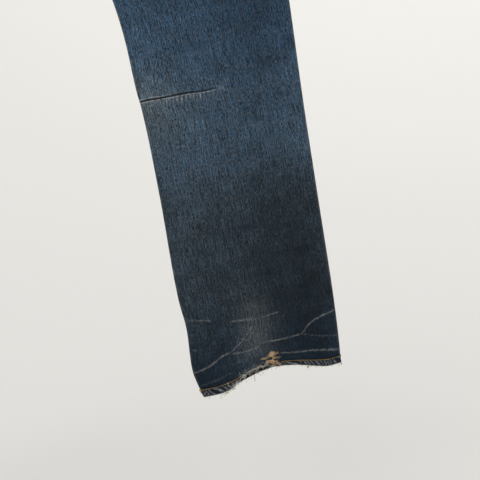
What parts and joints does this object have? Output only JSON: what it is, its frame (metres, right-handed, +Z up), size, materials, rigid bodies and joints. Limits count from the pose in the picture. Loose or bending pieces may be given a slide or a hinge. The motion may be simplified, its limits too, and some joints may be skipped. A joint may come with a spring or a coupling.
{
  "type": "straight leg jeans",
  "caption": "Straight leg denim jeans held by the waist with the legs apart, with knee darts at the back, worn turned hems, patch back pockets, scooped front pockets and a buttoned waistband.",
  "frame": {"origin": "middle of the waist opening, level with the waistband's top edge at the side seams, where the garment is held", "axes": "+Z up the garment from the hems to the waist; -Y is the garment's front and +Y its back; +X is the wearer's left"},
  "size_m": [0.896, 0.0685, 1.0952],
  "materials": {
    "denim": "worn dark indigo denim twill",
    "hem_denim": "turned and worn indigo denim",
    "brass": "dull antique brass",
    "copper": "dull copper"
  },
  "bodies": {
    "root": {"back_left": "denim", "back_right": "denim", "front_left": "denim", "front_right": "denim", "yoke_left": "denim", "yoke_right": "denim", "back_pocket_left": "denim", "back_pocket_right": "denim", "pocket_facing_left": "denim", "pocket_facing_right": "denim", "hem_left": "hem_denim", "hem_right": "hem_denim", "waistband": "denim", "fly_flap": "denim", "belt_loop_back": "denim", "belt_loop_back_left": "denim", "belt_loop_back_right": "denim", "belt_loop_front_left": "denim", "belt_loop_front_right": "denim", "waist_button": "brass", "rivet_waist_left": "copper", "rivet_waist_right": "copper", "rivet_side_left": "copper", "rivet_side_right": "copper"}
  },
  "joints": []
}
